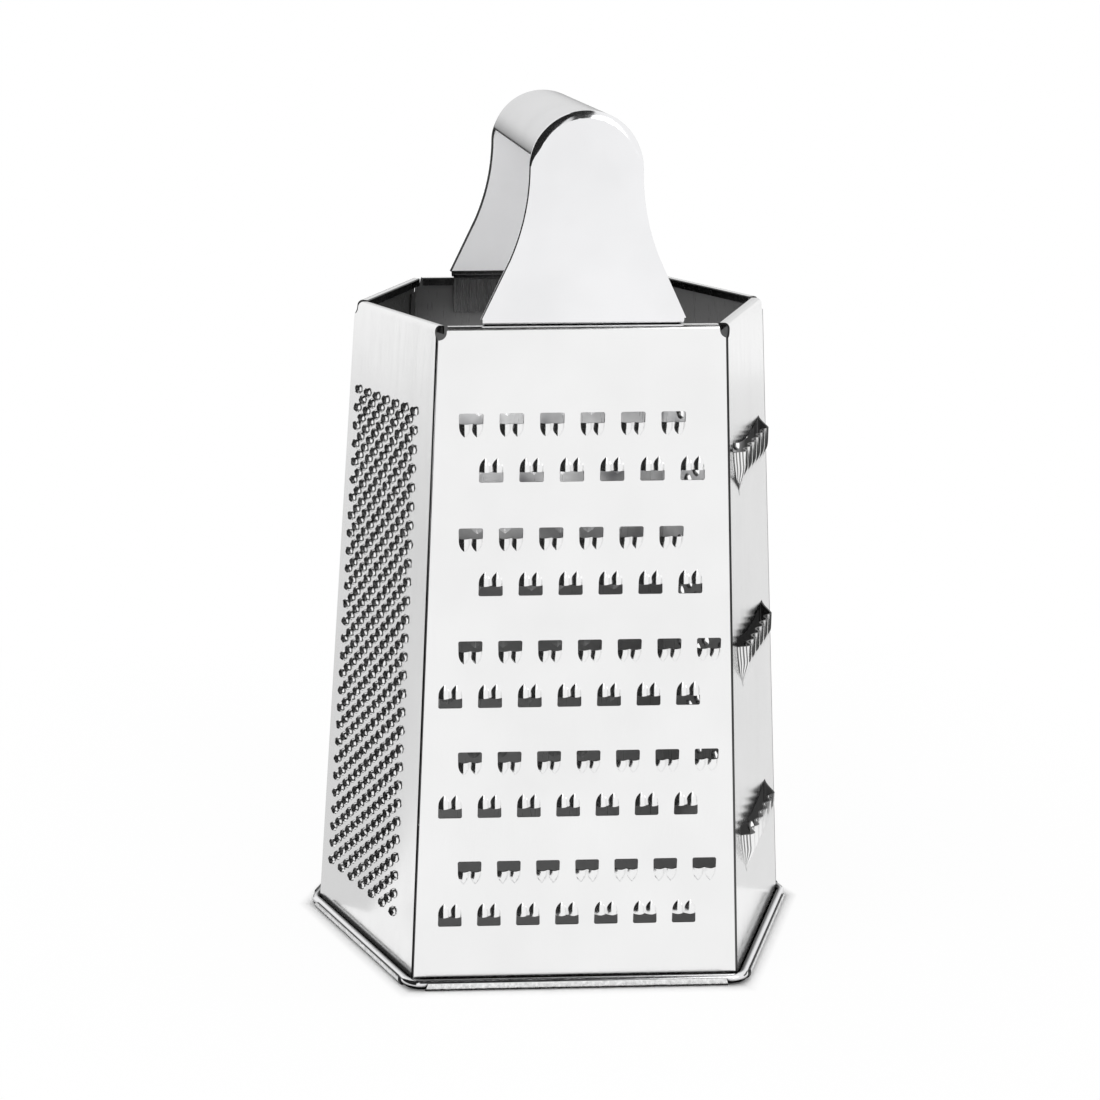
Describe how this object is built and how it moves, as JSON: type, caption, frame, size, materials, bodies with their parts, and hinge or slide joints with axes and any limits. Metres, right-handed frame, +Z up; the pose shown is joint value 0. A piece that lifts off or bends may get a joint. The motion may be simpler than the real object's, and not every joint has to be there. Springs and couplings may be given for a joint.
{
  "type": "box grater",
  "caption": "Six-sided stainless steel box grater with shredding, rasping and slicing faces, a wire-bound open base and a half-round handle.",
  "frame": {"origin": "ground under the middle of the body", "axes": "+Z up, +X to the right, -Y to the front face"},
  "size_m": [0.1374, 0.1176, 0.23],
  "materials": {
    "face_steel": "bright satin stainless sheet",
    "handle_steel": "satin stainless sheet, lightly mottled",
    "wire_steel": "polished round wire"
  },
  "bodies": {
    "root": {"front_coarse_panel": "face_steel", "front_right_slicing_panel": "face_steel", "rear_right_rasp_panel": "face_steel", "rear_medium_panel": "face_steel", "rear_left_small_panel": "face_steel", "front_left_fine_panel": "face_steel", "base_wire": "wire_steel", "handle_front_plate": "handle_steel", "handle_rear_plate": "handle_steel", "handle_grip": "handle_steel"}
  },
  "joints": []
}
